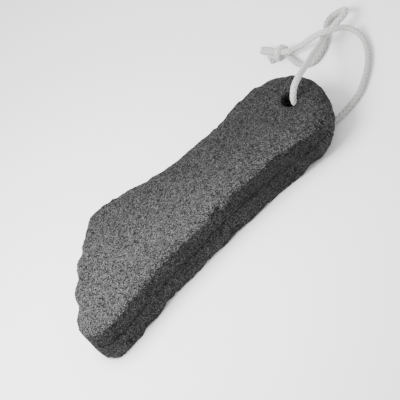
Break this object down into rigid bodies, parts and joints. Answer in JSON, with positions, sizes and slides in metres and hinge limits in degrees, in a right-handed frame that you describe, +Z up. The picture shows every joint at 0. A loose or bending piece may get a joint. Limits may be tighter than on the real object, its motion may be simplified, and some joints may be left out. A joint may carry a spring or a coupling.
{
  "type": "foot-shaped pumice stone on a cord",
  "caption": "Grey pumice stone ground to the shape of a foot sole, with a white braided cotton hanging loop knotted through a hole in its heel.",
  "frame": {"origin": "middle of the stone's box at floor level, measured without the cord and its knot", "axes": "+X from the toes towards the heel, +Z up out of the upper face, -Y towards the arch side"},
  "size_m": [0.1765, 0.0734, 0.0258],
  "materials": {
    "pumice": "dry, matte, open-pored volcanic stone with fine pits and pale grains",
    "cotton": "matte white braided cotton"
  },
  "bodies": {
    "root": {"stone": "pumice", "cord": "cotton", "knot": "cotton"}
  },
  "joints": []
}
